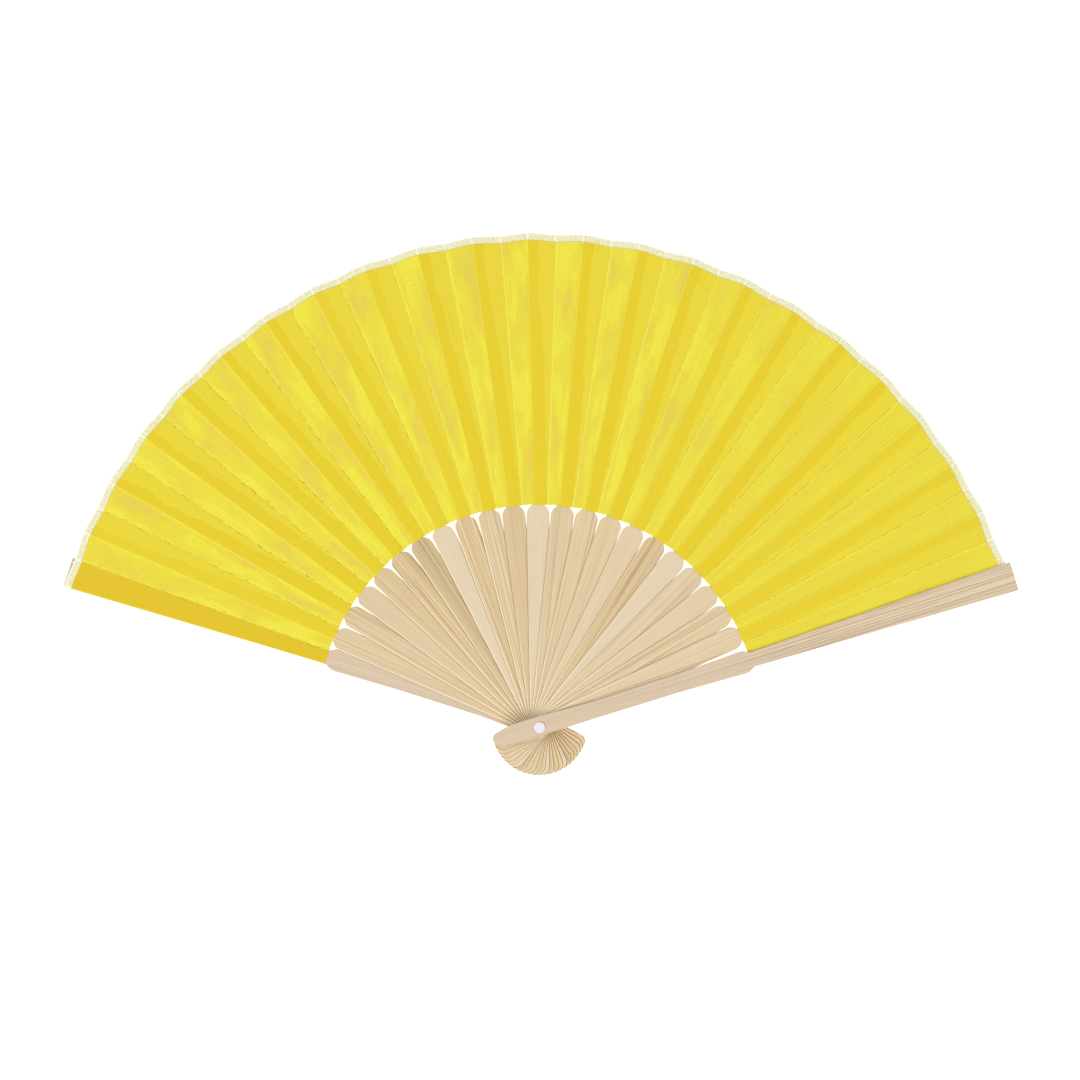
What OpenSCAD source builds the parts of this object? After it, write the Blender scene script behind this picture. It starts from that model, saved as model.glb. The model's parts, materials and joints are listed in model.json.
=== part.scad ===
// Folding hand fan: two guards and a row of ribs on one rivet, with a pleated cloth leaf.
// The open fan lies flat. +Z runs along the rivet, away from the surface the fan lies on.
// The origin is on the rivet's axis, on the underside of its rear cap.
// Sticks are counted from the front guard, 0, to the rear guard, which is the last.
// Each stick lies one step lower than the one before it, as the sticks do on a real rivet.

/* [Spread] */
// Number of ribs between the two guards
rib_count = 21; // [3:1:21]
// Angle between the two guards when the fan is open
open_spread = 144.1; // [60:0.1:150]
// Direction of the front guard from +X when the fan is open
front_angle = 17.7; // [0:0.1:30]
// Angle from a pleat's middle to the rib glued under it
rib_offset = 0.65; // [0:0.05:0.8]

/* [Ribs] */
// Length of a stick behind the pivot
butt_reach = 20.3; // [16:0.1:24]
// Thickness of a rib's bare blade
rib_thickness = 0.6; // [0.4:0.05:1]
// Width of a rib at its butt
rib_butt_width = 8; // [6:0.1:9]
// Width of a rib at the pivot
rib_pivot_width = 7.5; // [6:0.1:9]
// Width of a rib at its shoulder
rib_shoulder_width = 9.7; // [8:0.1:12]
// How far the round end of a rib's shoulder goes under the leaf
shoulder_overlap = 0.7; // [0.3:0.1:4]
// Thickness of the thin slip that carries the leaf
slip_thickness = 0.35; // [0.25:0.05:0.4]
// Width of a slip where it leaves the shoulder
slip_root_width = 2.2; // [1.8:0.1:2.4]
// Width of a slip at its outer end
slip_tip_width = 4.6; // [3:0.1:5]

/* [Guards] */
// Thickness of a guard
guard_thickness = 1.8; // [1.2:0.1:3]
// Radius of the end of a guard's butt
guard_butt_round = 2.85; // [2:0.05:3.3]
// How far a guard's butt lies to one side of the pivot
guard_butt_offset = 0.6; // [0:0.1:1]
// Width of a guard at its waist, just outside the pivot
guard_waist_width = 7; // [6:0.1:8]
// Width of a guard before it widens to its shoulder
guard_middle_width = 7.6; // [6.5:0.1:9]
// Width of a guard at its shoulder
guard_shoulder_width = 9.6; // [9:0.1:12]
// Width of a guard where it comes out of its shoulder
guard_root_width = 6.2; // [5:0.1:8]
// Width of a guard at its square outer end
guard_tip_width = 12.4; // [8:0.1:13]
// Distance from the pivot to a guard's outer end
guard_reach = 209.7; // [205:0.1:220]

/* [Leaf] */
// Radius of the leaf's inner edge, midway
leaf_inner_radius = 93.7; // [93.7:0.1:110]
// Radius of the leaf's outer edge, midway
leaf_outer_radius = 208.2; // [180:0.1:208.8]
// How much further out the leaf sits at the rear guard than at the front one
leaf_drift = 1.6; // [0:0.1:1.6]
// Thickness of the cloth with its glue
leaf_thickness = 0.15; // [0.1:0.01:0.2]
// Width of the tape that binds the outer edge
binding_width = 3.2; // [2:0.1:5]
// Thickness of the tape folded over the edge
binding_thickness = 0.22; // [0.16:0.01:0.25]

/* [Rivet] */
// Diameter of the rivet's heads
rivet_head_diameter = 4.7; // [4.4:0.1:7]
// Thickness of a rivet head
rivet_head_height = 0.8; // [0.6:0.1:1.5]
// Diameter of the rivet's shank
rivet_shank_diameter = 3; // [2:0.1:3.5]

/* [Hidden] */
last_stick = rib_count + 1;
pleat_pitch = open_spread / last_stick;
// Gap between sticks that slide over each other, and round the shank in their holes
stick_gap = 0.05;
hole_clearance = 0.06;
stick_pitch = rib_thickness + stick_gap;
// The tape stands this far out from the cloth on both faces
binding_proud = (binding_thickness - leaf_thickness) / 2;
// A guard is cut back on its inner face where the leaf is glued to it
guard_recess = 0.2;
// A guard's butt narrows to its round end: distance from the pivot, and width
GUARD_BUTT_STATIONS = [
    [guard_butt_round - butt_reach, 2 * guard_butt_round],
    [-15.4, 6.9],
    [-12.8, 7.65],
    [-10, rib_butt_width]
];
// A guard's outline from its waist to its outer part: distance from the pivot, and width
GUARD_STATIONS = [
    [25, guard_waist_width],
    [60, guard_middle_width],
    [90.2, guard_shoulder_width],
    [91.6, guard_shoulder_width - 0.6],
    [93, guard_root_width + 1.1],
    [94.2, guard_root_width]
];
guard_tip_round = 0.5;
// The slip's underside stands this far above the blade's, so that slips don't rub
slip_lift = 0.05;
// The leaf's ends: hidden under the front guard, and over the whole face of the rear one
front_panel_edge = 1.45;
rear_panel_edge = 1.8;
// The full thickness of a stick stops this far short of the leaf
leaf_clearance = 0.15;
// A slip stops this far short of the binding
slip_clearance = 0.1;
// The shank goes this far into the rear cap
cap_socket = 0.5;
rivet_edge_round = 0.25;
smooth = 64;
round_smooth = 200;

// Height of a stick's underside
function stick_z(stick) =
    stick == last_stick ? rivet_head_height
    : rivet_head_height + guard_thickness + stick_gap + (rib_count - stick) * stick_pitch;
// Height of the leaf's underside on a stick
function leaf_z(stick) =
    stick == last_stick ? stick_z(stick) + guard_thickness - guard_recess + binding_proud
    : stick == 0 ? stick_z(0) + guard_recess - leaf_thickness - binding_proud
    : stick_z(stick) + slip_lift + slip_thickness;
// Direction of the middle of a stick's pleat, from +X
function pleat_angle(stick) = front_angle + stick * pleat_pitch;
function leaf_shift(stick) = leaf_drift * (stick / last_stick - 0.5);
function leaf_inner(stick) = leaf_inner_radius + leaf_shift(stick);
function leaf_outer(stick) = leaf_outer_radius + leaf_shift(stick);
function two_digits(number) = str(number < 10 ? "0" : "", number);
function rib_name(stick) = str("rib_", two_digits(stick));
function leaf_name(stick) =
    stick == 0 ? "leaf_front" : stick == last_stick ? "leaf_rear" : str("leaf_", two_digits(stick));

RIBS = [for (stick = [1:rib_count]) rib_name(stick)];
LEAVES = [for (stick = [0:last_stick]) leaf_name(stick)];

// The round butt and the straight sides from it to the pivot, along +X
module butt_outline(pivot_width) {
    butt_radius = rib_butt_width / 2;
    translate([butt_radius - butt_reach, 0]) circle(butt_radius, $fn = smooth);
    polygon([
        [butt_radius - butt_reach, -butt_radius], [0, -pivot_width / 2],
        [0, pivot_width / 2], [butt_radius - butt_reach, butt_radius]
    ]);
}

// A bar along X whose width goes straight from one value to another
module taper(from_x, to_x, from_width, to_width) {
    polygon([
        [from_x, -from_width / 2], [to_x, -to_width / 2],
        [to_x, to_width / 2], [from_x, from_width / 2]
    ]);
}

// Tapers that join all the stations in a list
module taper_chain(stations) {
    for (i = [1:len(stations) - 1])
        taper(stations[i - 1][0], stations[i][0], stations[i - 1][1], stations[i][1]);
}

// A rib with a round shoulder, whose end the leaf covers
module rib_outline(shoulder_x) {
    butt_outline(rib_pivot_width);
    taper(0, shoulder_x, rib_pivot_width, rib_shoulder_width);
    translate([shoulder_x, 0]) circle(rib_shoulder_width / 2, $fn = smooth);
}

// A guard's butt, which lies a little to one side, and its way back to the middle at the waist
module guard_butt() {
    half_width = rib_butt_width / 2;
    low_side = guard_butt_offset - half_width;
    high_side = guard_butt_offset + half_width;
    wide_x = GUARD_BUTT_STATIONS[3][0];
    translate([0, guard_butt_offset]) {
        translate([guard_butt_round - butt_reach, 0]) circle(guard_butt_round, $fn = smooth);
        taper_chain(GUARD_BUTT_STATIONS);
    }
    polygon([
        [wide_x, low_side], [0, low_side],
        [GUARD_STATIONS[0][0], -guard_waist_width / 2], [GUARD_STATIONS[0][0], guard_waist_width / 2],
        [0, high_side], [wide_x, high_side]
    ]);
}

// A guard: its shoulders slant in to a narrower outer part, which widens again to a square end
module guard_outline() {
    corner_x = guard_reach - guard_tip_round;
    corner_y = guard_tip_width / 2 - guard_tip_round;
    guard_butt();
    taper_chain(concat(GUARD_STATIONS, [[corner_x, guard_tip_width]]));
    translate([corner_x, -corner_y]) square([guard_tip_round, 2 * corner_y]);
    for (side = [-1, 1])
        translate([corner_x, side * corner_y]) circle(guard_tip_round, $fn = smooth);
}

// The part of a stick's outline that the leaf doesn't cover
module bare(stick) {
    intersection() {
        children();
        circle(leaf_inner(stick) - leaf_clearance, $fn = round_smooth);
    }
}

// Turns a stick's shape to its place in the open fan
module place(stick, offset_angle) {
    translate([0, 0, stick_z(stick)]) rotate([0, 0, pleat_angle(stick) + offset_angle]) children();
}

module pivot_hole(height) {
    translate([0, 0, -1])
        cylinder(r = rivet_shank_diameter / 2 + hole_clearance, h = height + 2, $fn = smooth);
}

// A guard is thinner where the leaf is glued to it. Its outer part starts at leaf_part_z.
module guard(stick, leaf_part_z) {
    color("tan") place(stick, 0) difference() {
        union() {
            linear_extrude(guard_thickness) bare(stick) guard_outline();
            translate([0, 0, leaf_part_z]) linear_extrude(guard_thickness - guard_recess)
                guard_outline();
        }
        pivot_hole(guard_thickness);
    }
}

module front_guard() {
    guard(0, guard_recess);
}

module rear_guard() {
    guard(last_stick, 0);
}

// A rib's bare blade, and the thin slip under the leaf with the covered end of the shoulder
module rib(stick) {
    shoulder_x = leaf_inner(stick) + shoulder_overlap - rib_shoulder_width / 2;
    slip_reach = leaf_outer(stick) - binding_width - slip_clearance;
    color("wheat") place(stick, rib_offset) difference() {
        union() {
            linear_extrude(rib_thickness) bare(stick) rib_outline(shoulder_x);
            translate([0, 0, slip_lift]) linear_extrude(slip_thickness) {
                rib_outline(shoulder_x);
                taper(shoulder_x, slip_reach, slip_root_width, slip_tip_width);
            }
        }
        pivot_hole(rib_thickness);
    }
}

// A flat part of a ring, between two angles from +X
module ring_sector(inner_radius, outer_radius, from_angle, to_angle) {
    beyond = 2 * outer_radius;
    intersection() {
        difference() {
            circle(outer_radius, $fn = round_smooth);
            circle(inner_radius, $fn = round_smooth);
        }
        polygon([
            [0, 0],
            [beyond, beyond * tan(from_angle)],
            [beyond, beyond * tan(to_angle)]
        ]);
    }
}

// One stick's share of the leaf: its own panel, half of each free panel beside it, and the binding
module leaf(stick) {
    from_angle = stick == 0 ? -front_panel_edge : -pleat_pitch / 2;
    to_angle = stick == last_stick ? rear_panel_edge : pleat_pitch / 2;
    binding_start = leaf_outer(stick) - binding_width;
    translate([0, 0, leaf_z(stick)]) rotate([0, 0, pleat_angle(stick)]) {
        color("gold") linear_extrude(leaf_thickness)
            ring_sector(leaf_inner(stick), binding_start, from_angle, to_angle);
        color("lemonchiffon") translate([0, 0, -binding_proud]) linear_extrude(binding_thickness)
            ring_sector(binding_start, leaf_outer(stick), from_angle, to_angle);
    }
}

// A flat round head with a rounded rim, its flat face down at z = 0
module rivet_head() {
    radius = rivet_head_diameter / 2;
    rotate_extrude($fn = smooth) {
        square([radius - rivet_edge_round, rivet_head_height]);
        square([radius, rivet_head_height - rivet_edge_round]);
        translate([radius - rivet_edge_round, rivet_head_height - rivet_edge_round])
            circle(rivet_edge_round, $fn = smooth);
    }
}

// The front head and the shank that every stick turns on
module rivet_pin() {
    head_z = stick_z(0) + guard_thickness + stick_gap;
    shank_start = rivet_head_height - cap_socket;
    color("white") {
        translate([0, 0, head_z]) rivet_head();
        translate([0, 0, shank_start])
            cylinder(r = rivet_shank_diameter / 2, h = head_z - shank_start, $fn = smooth);
    }
}

// The rear head, which the shank is pressed into
module rivet_cap() {
    color("white") difference() {
        translate([0, 0, rivet_head_height]) mirror([0, 0, 1]) rivet_head();
        translate([0, 0, rivet_head_height - cap_socket])
            cylinder(r = rivet_shank_diameter / 2, h = rivet_head_height, $fn = smooth);
    }
}

front_guard();
rear_guard();
for (stick = [1:rib_count])
    rib(stick);
for (stick = [0:last_stick])
    leaf(stick);
rivet_pin();
rivet_cap();
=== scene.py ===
"""Looks of a folding hand fan: bamboo sticks, a pleated cloth leaf with a bound edge, and a plastic rivet."""

import json
import math

import bpy
import numpy as np
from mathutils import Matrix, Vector


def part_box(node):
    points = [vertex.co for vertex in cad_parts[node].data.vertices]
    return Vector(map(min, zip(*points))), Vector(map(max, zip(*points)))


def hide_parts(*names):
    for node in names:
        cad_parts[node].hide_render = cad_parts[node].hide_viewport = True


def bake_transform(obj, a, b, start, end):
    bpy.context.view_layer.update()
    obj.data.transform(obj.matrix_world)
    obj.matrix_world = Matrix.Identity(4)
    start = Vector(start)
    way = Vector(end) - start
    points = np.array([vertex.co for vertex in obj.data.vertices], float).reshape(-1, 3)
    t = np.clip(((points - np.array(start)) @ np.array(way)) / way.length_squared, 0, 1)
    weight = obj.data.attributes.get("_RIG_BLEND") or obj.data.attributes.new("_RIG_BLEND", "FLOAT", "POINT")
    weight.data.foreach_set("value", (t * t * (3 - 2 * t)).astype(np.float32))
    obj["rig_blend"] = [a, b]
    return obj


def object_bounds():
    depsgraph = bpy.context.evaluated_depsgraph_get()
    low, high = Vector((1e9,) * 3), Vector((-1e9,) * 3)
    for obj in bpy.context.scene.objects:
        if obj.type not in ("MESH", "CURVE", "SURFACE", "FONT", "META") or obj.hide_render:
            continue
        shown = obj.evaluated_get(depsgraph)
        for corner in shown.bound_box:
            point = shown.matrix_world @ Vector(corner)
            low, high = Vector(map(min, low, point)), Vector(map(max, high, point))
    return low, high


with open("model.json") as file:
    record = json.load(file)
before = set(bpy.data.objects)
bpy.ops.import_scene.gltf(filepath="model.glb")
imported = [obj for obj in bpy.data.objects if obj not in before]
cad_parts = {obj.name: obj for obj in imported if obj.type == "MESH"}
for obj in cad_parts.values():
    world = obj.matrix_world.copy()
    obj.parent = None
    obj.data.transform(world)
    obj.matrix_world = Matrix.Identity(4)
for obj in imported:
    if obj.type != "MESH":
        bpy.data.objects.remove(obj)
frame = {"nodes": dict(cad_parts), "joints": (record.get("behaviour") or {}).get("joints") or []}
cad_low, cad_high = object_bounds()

MM = 0.001

# The camera looks straight down on the open fan.
VIEW_WIDTH = 0.4554
LENS_MM, SENSOR_MM = 300, 36
VIEW_CENTRE_X, VIEW_CENTRE_Y = 0.0002, 0.0789

# Each light's name, place, size and power, and the strength of the surroundings and of the floor's own glow
LIGHTS = [
    ("key", (-0.7, -0.9, 1.9), 1.2, 23),
    ("fill", (1.2, 0.9, 1.6), 1.4, 8),
]
SURROUNDINGS = 0.55
FLOOR_GLOW, FLOOR_GREY, FLOOR_HALF_SIZE = 0.85, 0.5, 6.0
# The floor lies this far under the fan
FLOOR_GAP = 0.2 * MM

# One pleat, in degrees from the middle of its glued panel, as in the CAD model
HALF_PANEL = 1.6375
RIB_OFFSET = 0.65
SLIP_EDGES = (0.0, 1.3)
GUARD_EDGES = (1.45, 1.8)

# The cloth's thickness, the tape's, and how far the cloth stays above the next layer when folded
CLOTH = 0.07 * MM
TAPE = 0.1 * MM
NEST = 0.115 * MM
# How far a valley fold hangs below its rib at the leaf's outer edge
DROOP = 0.7 * MM
DROOP_STEP = 0.42 * MM
# Ridge folds reach further out than valley folds
RIDGE_RISE = 0.38 * MM
# The inner edge steps out past each ridge fold, over this share of a pleat, and comes back slowly
INNER_STEP = 0.5 * MM
STEP_SHARE = 0.15
THREADS_PER_MM = 5
TAPE_WIDTH = 3.2 * MM
# The tape laps over the cloth's edge by this much
TAPE_LAP = 0.3 * MM
# A rib's width at the pivot and at its shoulder, and the shoulder's distance from the pivot, in mm
RIB_WIDTHS = (7.5, 9.7)
SHOULDER_X = 89.6
# The centre and radius of a rib's round butt, in mm
BUTT_CENTRE, BUTT_RADIUS = 16.3, 4.0
# How far the sticks' edges are rounded
RIB_EDGE = 0.17 * MM
GUARD_ROUND = 0.3 * MM

last = len(frame["joints"])
pitch = frame["joints"][0]["range_deg"][1]


def leaf_name(stick):
    return "leaf_front" if stick == 0 else "leaf_rear" if stick == last else f"leaf_{stick:02d}"


def stick_body(stick):
    if stick == 0:
        return "front_guard_stick"
    return "rear_guard_stick" if stick == last else f"rib_{stick:02d}_stick"


def node_points(node):
    mesh = frame["nodes"][node].data
    found = np.empty(len(mesh.vertices) * 3, np.float32)
    mesh.vertices.foreach_get("co", found)
    return found.reshape(-1, 3).astype(float)


def leaf_sector(stick):
    """The middle direction in degrees, and the inner and outer radius, of a stick's share of the leaf."""
    points = node_points(leaf_name(stick))
    angles = np.degrees(np.arctan2(points[:, 1], points[:, 0]))
    radii = np.hypot(points[:, 0], points[:, 1])
    return (angles.min() + angles.max()) / 2, radii.min(), radii.max()


front_angle = leaf_sector(1)[0] - pitch
leaf_radii = [leaf_sector(stick)[1:] for stick in range(last + 1)]


def pleat_angle(stick):
    return front_angle + stick * pitch


def leaf_height(stick):
    low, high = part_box(leaf_name(stick))
    return (low.z + high.z) / 2


def valley_droop(stick):
    """How far the valley fold beside a stick hangs. Near the rear guard there is less room when folded."""
    return 0.0 if stick == last else min(DROOP, DROOP_STEP * (last - stick))


# ---------------------------------------------------------------- camera, lights and floor


def make_camera():
    camera = bpy.data.objects.new("camera", bpy.data.cameras.new("camera"))
    bpy.context.scene.collection.objects.link(camera)
    camera.data.lens = LENS_MM
    camera.data.sensor_width = SENSOR_MM
    distance = VIEW_WIDTH * LENS_MM / SENSOR_MM
    middle = (cad_low.z + cad_high.z) / 2
    camera.location = (VIEW_CENTRE_X, VIEW_CENTRE_Y, middle + distance)
    bpy.context.scene.camera = camera


def area_light(name, place, size, power):
    data = bpy.data.lights.new(name, "AREA")
    data.shape = "DISK"
    data.size = size
    data.energy = power
    light = bpy.data.objects.new(name, data)
    bpy.context.scene.collection.objects.link(light)
    light.location = place
    aim = Vector((0, VIEW_CENTRE_Y, 0)) - Vector(place)
    light.rotation_euler = aim.to_track_quat("-Z", "Y").to_euler()


def make_studio():
    bpy.context.scene.view_settings.view_transform = "Standard"
    world = bpy.data.worlds.new("studio")
    bpy.context.scene.world = world
    world.use_nodes = True
    world.node_tree.nodes["Background"].inputs["Color"].default_value = (1, 1, 1, 1)
    world.node_tree.nodes["Background"].inputs["Strength"].default_value = SURROUNDINGS
    for light in LIGHTS:
        area_light(*light)

    floor_mesh = bpy.data.meshes.new("floor")
    half = FLOOR_HALF_SIZE
    floor_mesh.from_pydata(
        [(-half, -half, 0), (half, -half, 0), (half, half, 0), (-half, half, 0)], [], [(0, 1, 2, 3)]
    )
    floor = bpy.data.objects.new("floor", floor_mesh)
    bpy.context.scene.collection.objects.link(floor)
    floor.location.z = cad_low.z - FLOOR_GAP
    paint = Shader("floor_white")
    paint.set("Base Color", (FLOOR_GREY, FLOOR_GREY, FLOOR_GREY, 1))
    paint.set("Roughness", 0.9)
    paint.set("Emission Color", (1, 1, 1, 1))
    paint.set("Emission Strength", FLOOR_GLOW)
    floor_mesh.materials.append(paint.material)


# ---------------------------------------------------------------- material tools


def srgb(red, green, blue):
    """A colour given in 0 to 255 screen values, as the shader wants it."""
    def linear(value):
        share = value / 255
        return share / 12.92 if share <= 0.04045 else ((share + 0.055) / 1.055) ** 2.4
    return (linear(red), linear(green), linear(blue), 1.0)


class Shader:
    """One material with a Principled shader, and short calls that add nodes to it."""

    def __init__(self, name):
        self.material = bpy.data.materials.new(name)
        self.material.use_nodes = True
        self.tree = self.material.node_tree
        self.surface = self.tree.nodes["Principled BSDF"]

    def put(self, socket, value):
        if isinstance(value, bpy.types.NodeSocket):
            self.tree.links.new(value, socket)
        else:
            socket.default_value = value

    def set(self, name, value):
        self.put(self.surface.inputs[name], value)

    def attribute(self, name):
        node = self.tree.nodes.new("ShaderNodeAttribute")
        node.attribute_name = name
        return node.outputs["Vector"]

    def object_place(self):
        return self.tree.nodes.new("ShaderNodeTexCoord").outputs["Object"]

    def facing_up(self):
        """The upward part of the surface's own direction, from -1 to 1."""
        return self.split(self.tree.nodes.new("ShaderNodeTexCoord").outputs["Normal"])[2]

    def split(self, vector):
        node = self.tree.nodes.new("ShaderNodeSeparateXYZ")
        self.put(node.inputs[0], vector)
        return node.outputs[0], node.outputs[1], node.outputs[2]

    def join(self, x, y, z):
        node = self.tree.nodes.new("ShaderNodeCombineXYZ")
        for socket, value in zip(node.inputs, (x, y, z)):
            self.put(socket, value)
        return node.outputs[0]

    def mapped(self, vector, turn_z=0.0, scale=(1, 1, 1), move=(0, 0, 0)):
        node = self.tree.nodes.new("ShaderNodeMapping")
        self.put(node.inputs["Vector"], vector)
        node.inputs["Rotation"].default_value = (0, 0, turn_z)
        node.inputs["Scale"].default_value = scale
        node.inputs["Location"].default_value = move
        return node.outputs[0]

    def math(self, operation, a, b=0.0, clamp=False):
        node = self.tree.nodes.new("ShaderNodeMath")
        node.operation = operation
        node.use_clamp = clamp
        self.put(node.inputs[0], a)
        self.put(node.inputs[1], b)
        return node.outputs[0]

    def noise(self, vector, scale=1.0, detail=2.0, rough=0.5):
        node = self.tree.nodes.new("ShaderNodeTexNoise")
        self.put(node.inputs["Vector"], vector)
        node.inputs["Scale"].default_value = scale
        node.inputs["Detail"].default_value = detail
        node.inputs["Roughness"].default_value = rough
        return node.outputs["Fac"]

    def step(self, value, low, high, to_low=0.0, to_high=1.0):
        """Goes smoothly from to_low to to_high as value goes from low to high."""
        node = self.tree.nodes.new("ShaderNodeMapRange")
        node.interpolation_type = "SMOOTHSTEP"
        self.put(node.inputs["Value"], value)
        node.inputs["From Min"].default_value = low
        node.inputs["From Max"].default_value = high
        node.inputs["To Min"].default_value = to_low
        node.inputs["To Max"].default_value = to_high
        return node.outputs["Result"]

    def line(self, value, low, high, to_low, to_high):
        """Goes straight from to_low to to_high as value goes from low to high."""
        result = self.step(value, low, high, to_low, to_high)
        result.node.interpolation_type = "LINEAR"
        return result

    def band(self, value, centre, half_width, soft):
        """1 within half_width of centre, falling to 0 over soft on both sides."""
        away = self.math("ABSOLUTE", self.math("SUBTRACT", value, centre))
        return self.step(away, half_width, half_width + soft, 1.0, 0.0)

    def mix(self, share, a, b, kind="MIX"):
        node = self.tree.nodes.new("ShaderNodeMix")
        node.data_type = "RGBA"
        node.blend_type = kind
        self.put(node.inputs[0], share)
        self.put(node.inputs[6], a)
        self.put(node.inputs[7], b)
        return node.outputs[2]

    def bump(self, height, distance, strength=1.0):
        node = self.tree.nodes.new("ShaderNodeBump")
        node.inputs["Distance"].default_value = distance
        node.inputs["Strength"].default_value = strength
        self.put(node.inputs["Height"], height)
        self.set("Normal", node.outputs[0])


# ---------------------------------------------------------------- wood


# The painted highlight along a rib's free edge
EDGE_HIGHLIGHT = srgb(253, 243, 214)
BRIGHTEST = 0.95
# What is left of the wood's colour in a dark fibre, in painted shadow and in a rosy area, and what a pale
# fibre adds
FIBRE_SHADE = (0.52, 0.4, 0.22)
SHADOW_LINE_SHADE = (0.5, 0.42, 0.3)
ROSY_SHADE = (0.98, 0.95, 0.99)
FIBRE_SHINE = (1.28, 1.28, 1.28)
# How strongly a guard's fibres show on its blade and beyond, and the distances from the pivot, in mm, between
# which that changes
GUARD_STRIPES = (0.2, 0.65)
GUARD_CHANGE = (70, 120)
# Ribs that point further than this, in degrees, show the painted edge highlight all along
EDGE_HIGHLIGHT_FROM = 100
PALE, ROSE, TAN = srgb(227, 209, 177), srgb(226, 205, 169), srgb(223, 202, 163)
OLIVE, GREY = srgb(219, 195, 152), srgb(208, 186, 145)
GUARD_WOOD = srgb(217, 197, 169)
# The wood of each rib from the front guard on, and how strongly its fibres show
RIB_LOOKS = [
    (ROSE, 0.45), (TAN, 0.6), (ROSE, 0.2), (ROSE, 0.5), (PALE, 0.1), (OLIVE, 1.0), (ROSE, 0.1),
    (TAN, 0.3), (TAN, 0.45), (TAN, 0.4), (PALE, 0.1), (OLIVE, 0.2), (TAN, 0.75), (OLIVE, 1.0),
    (PALE, 0.05), (GREY, 0.8), (OLIVE, 0.8), (OLIVE, 0.3), (TAN, 0.15), (TAN, 0.9), (TAN, 0.5),
]


def shaded(colour, shade):
    """The colour times a shade, never brighter than bare wood can be."""
    return tuple(min(share * part, BRIGHTEST) for share, part in zip(shade, colour)) + (1.0,)


def wood(name, direction, light, stripes, seed, outer_stripes=None):
    """Split bamboo with straight fibres along direction. stripes is how strongly the fibres show, and
    outer_stripes how strongly beyond the blade of a guard."""
    paint = Shader(name)
    along, across, _ = paint.split(
        paint.mapped(paint.object_place(), turn_z=-math.radians(direction), scale=(1 / MM, 1 / MM, 1 / MM))
    )

    def grain(per_mm_along, per_mm_across, detail, layer):
        place = paint.join(
            paint.math("MULTIPLY", along, per_mm_along), paint.math("MULTIPLY", across, per_mm_across),
            seed * 3.7 + layer,
        )
        return paint.noise(place, 1.0, detail, 0.6)

    def darken(tone, share, amount):
        return paint.mix(paint.math("MULTIPLY", share, amount), tone, fibre_dark)

    strength = stripes
    if outer_stripes is not None:
        strength = paint.step(along, *GUARD_CHANGE, stripes, outer_stripes)
    uneven = paint.step(grain(0.012, 0.22, 0.0, 0.9), 0.4, 0.6, 0.5, 1.2)
    strength = paint.math("MULTIPLY", strength, uneven)
    fibres = grain(0.008, 2.5, 1.0, 0.0)
    strands = grain(0.004, 0.7, 1.0, 0.3)
    dashes = grain(0.06, 3.0, 1.0, 0.6)
    mottle = grain(0.05, 0.25, 2.0, 1.2)
    fibre_dark, fibre_pale = shaded(light, FIBRE_SHADE), shaded(light, FIBRE_SHINE)
    tone = paint.mix(paint.step(mottle, 0.4, 0.65, 0.0, 0.7), light, shaded(light, ROSY_SHADE))
    tone = darken(tone, paint.math("MULTIPLY", paint.step(strands, 0.42, 0.62), strength), 0.16)
    pale = paint.math("MULTIPLY", paint.step(fibres, 0.48, 0.42), strength)
    tone = paint.mix(paint.math("MULTIPLY", pale, 0.7), tone, fibre_pale)
    tone = darken(tone, paint.math("MULTIPLY", paint.step(fibres, 0.53, 0.58), strength), 0.55)
    tone = darken(tone, paint.math("MULTIPLY", paint.step(dashes, 0.6, 0.68), strength), 0.35)
    # Painted highlight and painted shadow along the ribs' edges
    if outer_stripes is None:
        tone = rib_edges(paint, tone, along, across, shaded(light, SHADOW_LINE_SHADE), direction)
    paint.set("Base Color", tone)
    paint.set("Roughness", paint.step(fibres, 0.3, 0.8, 0.5, 0.66))
    paint.set("Specular IOR Level", 0.3)
    paint.bump(fibres, 0.05 * MM, 0.4)
    return paint.material


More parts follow.
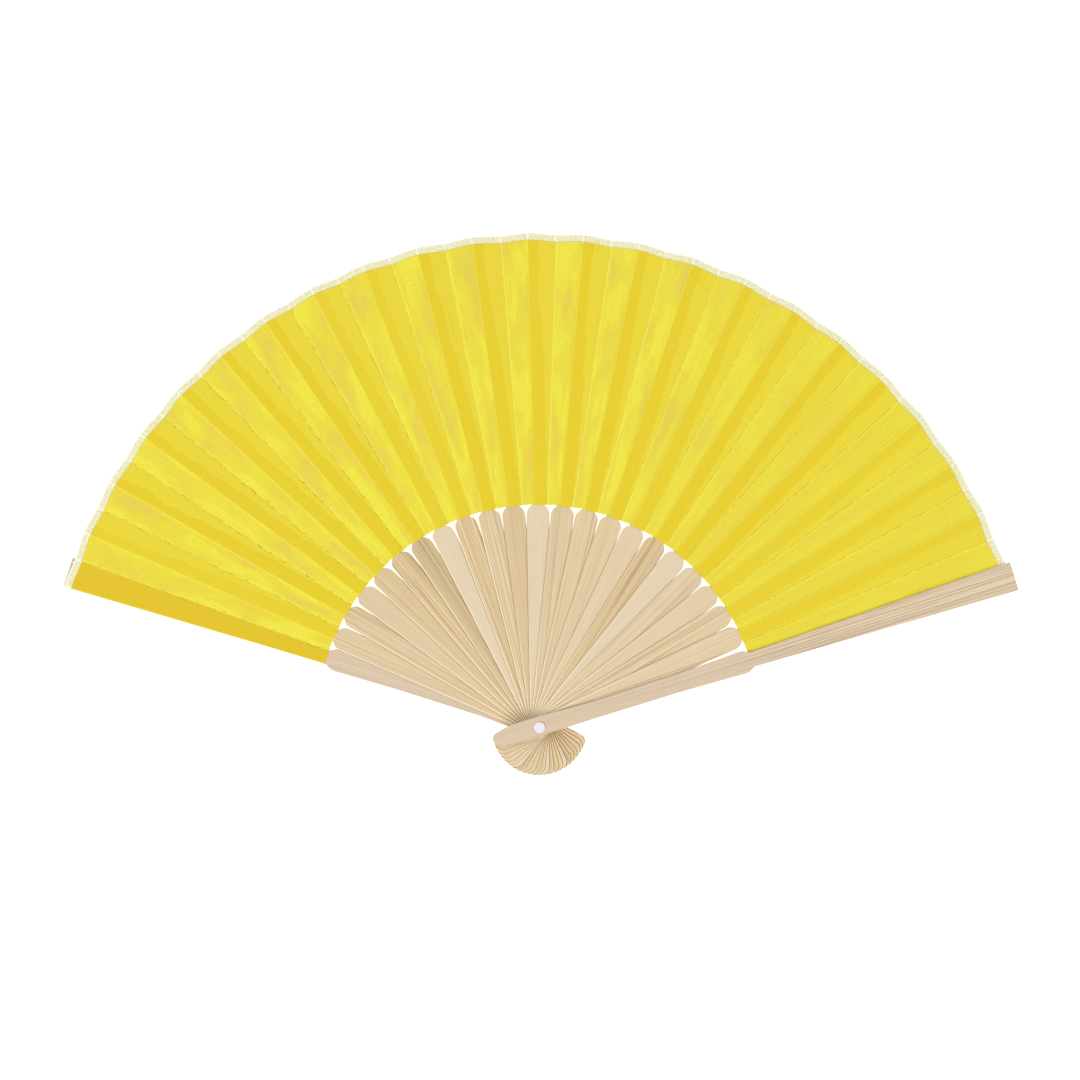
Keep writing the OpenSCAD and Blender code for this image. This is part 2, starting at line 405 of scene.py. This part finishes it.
def rib_edges(paint, tone, along, across, shadow_tone, direction):
    """A painted highlight along the rib's own free edge, and a painted shadow along the edge of the rib that
    lies on it.
    along and across are in mm from the pivot. Behind the pivot the ribs overlap the other way round."""
    on_blade = paint.math("GREATER_THAN", along, 0)
    reach = paint.math("ABSOLUTE", along)
    side = paint.math("MULTIPLY", across, paint.math("SIGN", along))

    def outside(reach, side):
        """How far a point lies outside a rib's edge."""
        half_width = paint.line(reach, 0, SHOULDER_X, RIB_WIDTHS[0] / 2, RIB_WIDTHS[1] / 2)
        beside_blade = paint.math("SUBTRACT", side, half_width)
        past_centre = paint.math("MAXIMUM", paint.math("SUBTRACT", reach, BUTT_CENTRE), 0)
        squares = paint.math(
            "ADD", paint.math("POWER", past_centre, 2), paint.math("MULTIPLY", side, side)
        )
        beside_butt = paint.math("SUBTRACT", paint.math("SQRT", squares), BUTT_RADIUS)
        return paint.math(
            "ADD", paint.math("MULTIPLY", beside_blade, on_blade),
            paint.math("MULTIPLY", beside_butt, paint.math("SUBTRACT", 1, on_blade)),
        )

    sine, cosine = math.sin(math.radians(pitch)), math.cos(math.radians(pitch))
    above_reach = paint.math(
        "SUBTRACT", paint.math("MULTIPLY", reach, cosine), paint.math("MULTIPLY", side, sine)
    )
    above_side = paint.math(
        "ADD", paint.math("MULTIPLY", reach, sine), paint.math("MULTIPLY", side, cosine)
    )
    # Painted shadow just outside the edge of the rib that lies on this one
    painted_shadow = paint.band(outside(above_reach, above_side), 0.12, 0.1, 0.14)
    amount = paint.math(
        "MAXIMUM", paint.step(reach, 15, 50, 0.35, 0.62), paint.step(along, -1, 1, 0.6, 0.0)
    )
    tone = paint.mix(paint.math("MULTIPLY", painted_shadow, amount), tone, shadow_tone)
    # Painted highlight along the rib's own free edge, on its upward faces
    edge = paint.math(
        "MULTIPLY", paint.band(outside(reach, side), -0.17, 0.15, 0.12), paint.step(side, 0, 1)
    )
    # The painted edge highlight shows all along the ribs on the rear guard's side, and only near the pivot on
    # the others.
    pale = 0.9 if direction > EDGE_HIGHLIGHT_FROM else paint.step(reach, 15, 60, 0.7, 0.0)
    pale = paint.math("MULTIPLY", paint.step(along, -1, 1, 0.45, 1.0), pale)
    pale = paint.math("MULTIPLY", paint.step(paint.facing_up(), 0.1, 0.6), pale)
    return paint.mix(paint.math("MULTIPLY", edge, pale), tone, EDGE_HIGHLIGHT)


def finish_stick(node, material, edge):
    """Gives a CAD stick its wood and softens its edges, as sanding does."""
    stick = frame["nodes"][node]
    stick.data.materials.clear()
    stick.data.materials.append(material)
    bevel = stick.modifiers.new("sanded_edges", "BEVEL")
    bevel.width = edge
    bevel.segments = 2
    bevel.limit_method = "ANGLE"
    bevel.use_clamp_overlap = False
    bevel.harden_normals = True


def make_sticks():
    for stick, (light, stripes) in enumerate(RIB_LOOKS, 1):
        direction = pleat_angle(stick) + RIB_OFFSET
        material = wood(f"bamboo_{stick:02d}", direction, light, stripes, stick)
        finish_stick(f"rib_{stick:02d}", material, RIB_EDGE)
    for node, stick, seed in (("front_guard", 0, 31), ("rear_guard", last, 47)):
        blade, outer = GUARD_STRIPES
        material = wood(node, pleat_angle(stick), GUARD_WOOD, blade, seed, outer_stripes=outer)
        finish_stick(node, material, GUARD_ROUND)


# ---------------------------------------------------------------- leaf


def pleat_columns(stick):
    """The leaf's section from one stick's slip to the next stick's, as rows of: degrees from the first
    stick's pleat, height, share of the droop that is taken off, share of the second stick's turn, and
    how far the edge reaches out, from 0 at a valley to 1 at a ridge."""
    here, there = leaf_height(stick), leaf_height(stick + 1)
    start = RIB_OFFSET if stick else -GUARD_EDGES[0]
    end = pitch + (RIB_OFFSET if stick + 1 < last else GUARD_EDGES[1])
    ridge, valley = HALF_PANEL, pitch - HALF_PANEL
    slip_right = pitch + SLIP_EDGES[0]
    rows = []

    def reach(degrees):
        if degrees <= ridge:
            return 1 - (ridge - degrees) / (2 * HALF_PANEL)
        if degrees <= valley:
            return 1 - (degrees - ridge) / (valley - ridge)
        return (degrees - valley) / (2 * HALF_PANEL)

    def add(degrees, height, droop, turn):
        rows.append((degrees, height, droop, turn, reach(degrees)))

    # On the slip, up to the ridge fold
    for degrees in np.linspace(start, ridge, 6):
        add(degrees, here, 0.0, 0.0)
    # The free panel: down the slip's side, level with the next layer, then down to the valley fold
    drop_end = (ridge - SLIP_EDGES[1]) / (valley - ridge) + 0.005
    level_end = (ridge - SLIP_EDGES[0]) / (valley - ridge)
    for turn in (0.2 * drop_end, 0.5 * drop_end, 0.8 * drop_end):
        share = turn / drop_end
        height = here + (there + NEST - here) * share * share * (3 - 2 * share)
        add(ridge + turn * (valley - ridge), height, 0.0, turn)
    for turn in np.linspace(drop_end, level_end, 6):
        add(ridge + turn * (valley - ridge), there + NEST, 0.0, turn)
    for turn in np.linspace(level_end, 1.0, 9)[1:]:
        share = (turn - level_end) / (1 - level_end)
        add(ridge + turn * (valley - ridge), there + NEST * (1 - share), share, turn)
    # The next stick's glued panel, from the valley fold up to its slip
    for degrees in np.linspace(valley, slip_right, 8)[1:]:
        add(degrees, there, (slip_right - degrees) / (slip_right - valley), 1.0)
    for degrees in np.linspace(slip_right, end, 5)[1:]:
        add(degrees, there, 0.0, 1.0)
    return np.array(rows)


def leaf_edges(stick, section):
    """The inner and outer radius of the leaf over the section of pleat_columns."""
    degrees, reach = section[:, 0], section[:, 4]
    share = (degrees / pitch)[:, None]
    inner, outer = ((1 - share) * leaf_radii[stick] + share * leaf_radii[stick + 1]).T
    past_ridge = (degrees - HALF_PANEL) / pitch % 1
    out = np.where(past_ridge < STEP_SHARE, past_ridge / STEP_SHARE, (1 - past_ridge) / (1 - STEP_SHARE))
    inner = inner + INNER_STEP * (out - 0.5)
    return inner, outer - RIDGE_RISE * np.cos(math.pi * reach)


def pleat_strip(name, stick, section, inner, outer, rows, thickness, material):
    """A closed thin mesh over the section of pleat_columns, from radius inner to radius outer, which are
    given for each column."""
    degrees, height, droop, turn, _ = section.T
    angle = np.radians(pleat_angle(stick) + degrees)
    hang = valley_droop(stick + 1)
    across, up = len(section), rows + 1
    share = np.linspace(0, 1, up)[:, None]
    radius = inner + (outer - inner) * share
    middle = height - hang * droop * radius / leaf_radii[stick][1]
    x, y = radius * np.cos(angle), radius * np.sin(angle)
    layers = [
        np.stack([x, y, middle + side * thickness / 2], -1).reshape(-1, 3) for side in (1, -1)
    ]
    points = np.concatenate(layers)
    count = across * up

    def index(row, column, layer):
        return layer * count + row * across + column

    faces = []
    for row in range(rows):
        for column in range(across - 1):
            corners = [(row, column), (row + 1, column), (row + 1, column + 1), (row, column + 1)]
            faces.append([index(r, c, 0) for r, c in reversed(corners)])
            faces.append([index(r, c, 1) for r, c in corners])
    ring = [(0, c) for c in range(across)] + [(r, across - 1) for r in range(1, up)]
    ring += [(rows, c) for c in range(across - 2, -1, -1)] + [(r, 0) for r in range(rows - 1, 0, -1)]
    rim = []
    for (r1, c1), (r2, c2) in zip(ring, ring[1:] + ring[:1]):
        faces.append([index(r1, c1, 0), index(r1, c1, 1), index(r2, c2, 1), index(r2, c2, 0)])
        rim += [(index(r1, c1, side), index(r2, c2, side)) for side in (0, 1)]

    mesh = bpy.data.meshes.new(name)
    mesh.from_pydata(points.tolist(), [], faces)
    mesh.polygons.foreach_set("use_smooth", [True] * len(mesh.polygons))
    edge_index = {tuple(sorted(e.vertices)): e.index for e in mesh.edges}
    for pair in rim:
        mesh.edges[edge_index[tuple(sorted(pair))]].use_edge_sharp = True
    from_edge = (outer - radius) / MM
    for label, values in (
        ("pleat_place", (degrees, radius / MM, degrees + pleat_angle(stick))),
        ("edge_place", (0, from_edge, 0)),
    ):
        place = np.stack([np.broadcast_to(v, radius.shape) for v in values], -1).reshape(-1, 3)
        place = np.concatenate([place, place]).astype(np.float32)
        kept = mesh.attributes.new(label, "FLOAT_VECTOR", "POINT")
        kept.data.foreach_set("vector", place.ravel())
    mesh.materials.append(material)
    piece = bpy.data.objects.new(name, mesh)
    bpy.context.scene.collection.objects.link(piece)

    # The free panel folds exactly flat when it turns in proportion to its own angle.
    bodies = stick_body(stick), stick_body(stick + 1)
    ends = []
    for side in (HALF_PANEL, pitch - HALF_PANEL):
        bearing = math.radians(pleat_angle(stick) + side)
        far = leaf_radii[stick][1]
        ends.append((far * math.cos(bearing), far * math.sin(bearing), leaf_height(stick)))
    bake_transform(piece, *bodies, start=ends[0], end=ends[1])
    weights = np.broadcast_to(turn, radius.shape).ravel()
    weights = np.concatenate([weights, weights]).astype(np.float32)
    mesh.attributes["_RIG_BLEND"].data.foreach_set("value", weights)
    return piece


def pleat_place(paint):
    """Where a point of the leaf is: degrees from its nearest stick's pleat, radius in mm, bearing in
    degrees, and mm past the ridge fold and past the valley fold."""
    degrees, radius, bearing = paint.split(paint.attribute("pleat_place"))
    beyond = paint.math("GREATER_THAN", degrees, pitch / 2)
    local = paint.math("SUBTRACT", degrees, paint.math("MULTIPLY", beyond, pitch))
    mm_per_degree = paint.math("MULTIPLY", radius, math.radians(1))
    past_ridge = paint.math("MULTIPLY", paint.math("SUBTRACT", local, HALF_PANEL), mm_per_degree)
    past_valley = paint.math("MULTIPLY", paint.math("ADD", local, HALF_PANEL), mm_per_degree)
    return local, radius, bearing, past_ridge, past_valley


def cloth_material():
    paint = Shader("leaf_cloth")
    local, radius, bearing, past_ridge, past_valley = pleat_place(paint)

    def clouds(per_degree, per_mm, detail, layer):
        place = paint.join(
            paint.math("MULTIPLY", bearing, per_degree), paint.math("MULTIPLY", radius, per_mm), layer
        )
        return paint.noise(place, 1.0, detail, 0.6)

    # A band over the slip gets painted shade where the slip blocks light through the thin cloth.
    # It is as wide as the panel at the inner edge and narrows outward.
    wander = paint.math("MULTIPLY", paint.math("SUBTRACT", clouds(1.1, 0.08, 4.0, 1), 0.5), 1.5)
    band_start = paint.math("ADD", paint.line(radius, 94, 185, -1.6, 0.35), wander)
    into_band = paint.math("SUBTRACT", local, band_start)
    band = paint.math(
        "MULTIPLY", paint.step(into_band, -0.06, 0.1), paint.step(past_ridge, -0.3, -0.05, 1.0, 0.0)
    )
    free = paint.math("GREATER_THAN", paint.math("ABSOLUTE", local), HALF_PANEL)
    panel = paint.math("FLOOR", paint.math("DIVIDE", bearing, pitch / 2))
    tint = paint.noise(paint.join(paint.math("MULTIPLY", panel, 3.3), 0, 9), 1.0, 0.0, 0.5)
    blotches = clouds(0.36, 0.032, 2.0, 3)
    streaks = clouds(5.0, 0.02, 2.0, 5)
    specks = clouds(4.0, 0.9, 1.0, 7)
    # The blotches show most away from the front guard.
    blotchy = paint.step(bearing, 45, 75, 0.3, 1.0)

    # The glued panels are a little darker than the free ones: painted shade.
    tone = paint.mix(free, srgb(236, 218, 62), srgb(237, 223, 70))
    tone = paint.mix(paint.step(tint, 0.3, 0.7, 0.0, 0.35), tone, srgb(231, 211, 60))
    lemon = paint.math("MULTIPLY", paint.step(blotches, 0.5, 0.4, 0.0, 0.85), blotchy)
    tone = paint.mix(paint.math("MULTIPLY", lemon, free), tone, srgb(241, 233, 74))
    tan = paint.math("MULTIPLY", paint.step(blotches, 0.51, 0.64, 0.0, 0.85), blotchy)
    tone = paint.mix(paint.math("MULTIPLY", tan, free), tone, srgb(231, 209, 84))
    pleat = paint.math("FLOOR", paint.math("DIVIDE", bearing, pitch))
    # The painted slip shade is stronger on some pleats than on others.
    slip_shade_noise = paint.noise(paint.join(paint.math("MULTIPLY", pleat, 5.1), 0, 13), 1.0, 0.0, 0.5)
    slip_shade = paint.math("MULTIPLY", band, paint.step(slip_shade_noise, 0.3, 0.6, 0.65, 1.0))
    tone = paint.mix(slip_shade, tone, srgb(231, 206, 44))
    # The last panel, over the rear guard, gets painted shade where the guard under the cloth blocks light.
    rear_panel_start = pleat_angle(last) - HALF_PANEL
    rear_panel = paint.step(bearing, rear_panel_start, rear_panel_start + 0.1)
    tone = paint.mix(rear_panel, tone, srgb(226, 194, 40))
    tone = paint.mix(paint.step(streaks, 0.5, 0.68, 0.0, 0.3), tone, srgb(226, 202, 50))
    tone = paint.mix(paint.step(specks, 0.4, 0.62, 0.0, 0.22), tone, srgb(222, 198, 48))
    # Thin fold lines: a painted highlight past the ridge, and in the valley broken painted shade with a
    # painted highlight beside it
    broken = paint.step(clouds(1.5, 0.35, 2.0, 11), 0.42, 0.56)
    ridge_highlight = paint.math("MULTIPLY", paint.band(past_ridge, 0.2, 0.12, 0.12), 0.45)
    tone = paint.mix(ridge_highlight, tone, srgb(243, 232, 88))
    # The valley's painted highlight is stronger, and its painted shade weaker, near the top of the fan.
    top_of_fan = paint.band(bearing, 88, 12, 20)
    shine = paint.math("ADD", 0.5, paint.math("MULTIPLY", top_of_fan, 0.3))
    valley_highlight = paint.math("MULTIPLY", paint.band(past_valley, -0.4, 0.16, 0.15), shine)
    tone = paint.mix(valley_highlight, tone, srgb(246, 235, 96))
    # The rear guard's side has been folded less neatly: its valley lines stray, and their painted shade is
    # darker.
    rear_side = paint.step(bearing, 105, 125)
    stray = paint.math("MULTIPLY", paint.math("SUBTRACT", clouds(0.9, 0.25, 3.0, 17), 0.5), 4.0)
    strayed = paint.math("ADD", past_valley, paint.math("MULTIPLY", stray, rear_side))
    valley_shade = paint.math("MULTIPLY", paint.band(strayed, 0.0, 0.12, 0.18), broken)
    valley_shade_strength = paint.math("SUBTRACT", 0.6, paint.math("MULTIPLY", top_of_fan, 0.4))
    valley_shade_strength = paint.math("ADD", valley_shade_strength, paint.math("MULTIPLY", rear_side, 0.15))
    tone = paint.mix(paint.math("MULTIPLY", valley_shade, valley_shade_strength), tone, srgb(196, 172, 36))
    paint.set("Base Color", tone)
    paint.set("Roughness", 0.72)
    paint.set("Specular IOR Level", 0.15)
    # Plain weave
    arc = paint.math("MULTIPLY", paint.math("MULTIPLY", bearing, radius), math.radians(1))
    warp = paint.math("SINE", paint.math("MULTIPLY", arc, 2 * math.pi * THREADS_PER_MM))
    weft = paint.math("SINE", paint.math("MULTIPLY", radius, 2 * math.pi * THREADS_PER_MM))
    weave = paint.math("MULTIPLY", warp, weft)
    height = paint.math("ADD", paint.math("MULTIPLY", weave, 0.12), streaks)
    paint.bump(height, 0.06 * MM, 0.5)
    return paint.material


def tape_material():
    """Pale woven tape with a white outer edge. It is whiter where it is creased at the folds."""
    paint = Shader("binding_tape")
    _, _, bearing, past_ridge, past_valley = pleat_place(paint)
    _, from_edge, _ = paint.split(paint.attribute("edge_place"))
    mesh_place = paint.join(paint.math("MULTIPLY", bearing, 5.5), paint.math("MULTIPLY", from_edge, 1.4), 5)
    mesh = paint.noise(mesh_place, 1.0, 2.0, 0.7)
    tone = paint.mix(paint.step(mesh, 0.34, 0.62), srgb(250, 249, 236), srgb(228, 220, 150))
    green_place = paint.join(paint.math("MULTIPLY", bearing, 2.5), from_edge, 15)
    tone = paint.mix(paint.step(paint.noise(green_place), 0.5, 0.7, 0.0, 0.4), tone, srgb(216, 216, 160))
    crease = paint.math(
        "MAXIMUM", paint.band(past_ridge, 0.0, 0.12, 0.15), paint.band(past_valley, 0.0, 0.12, 0.15)
    )
    tone = paint.mix(crease, tone, srgb(255, 254, 244))
    tone = paint.mix(paint.step(from_edge, 0.25, 0.6, 0.9, 0.0), tone, srgb(254, 253, 244))
    tone = paint.mix(paint.step(from_edge, 2.85, 3.1, 0.0, 0.7), tone, srgb(190, 170, 62))
    paint.set("Base Color", tone)
    paint.set("Roughness", paint.step(mesh, 0.3, 0.7, 0.5, 0.65))
    paint.set("Specular IOR Level", 0.3)
    paint.bump(mesh, 0.05 * MM, 0.6)
    return paint.material


def make_leaf():
    cloth, tape = cloth_material(), tape_material()
    for stick in range(last):
        section = pleat_columns(stick)
        inner, outer = leaf_edges(stick, section)
        tape_start = outer - TAPE_WIDTH
        cloth_end = tape_start + TAPE_LAP
        piece = pleat_strip(f"leaf_pleat_{stick + 1:02d}", stick, section, inner, cloth_end, 14, CLOTH, cloth)
        binding = pleat_strip(f"binding_{stick + 1:02d}", stick, section, tape_start, outer, 2, TAPE, tape)
        nodes = [leaf_name(stick)] + ([leaf_name(last)] if stick + 1 == last else [])
        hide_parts(*nodes)


# ---------------------------------------------------------------- rivet


def make_rivet():
    paint = Shader("rivet_plastic")
    specks = paint.noise(paint.mapped(paint.object_place(), scale=(900, 900, 900)), 1.0, 2.0, 0.5)
    paint.set("Base Color", paint.mix(specks, srgb(232, 228, 238), srgb(240, 236, 245)))
    paint.set("Roughness", paint.step(specks, 0.3, 0.7, 0.26, 0.36))
    paint.bump(specks, 0.02 * MM, 0.3)
    for node in ("rivet_pin", "rivet_cap"):
        rivet = frame["nodes"][node]
        rivet.data.materials.clear()
        rivet.data.materials.append(paint.material)


make_camera()
make_studio()
make_sticks()
make_leaf()
make_rivet()
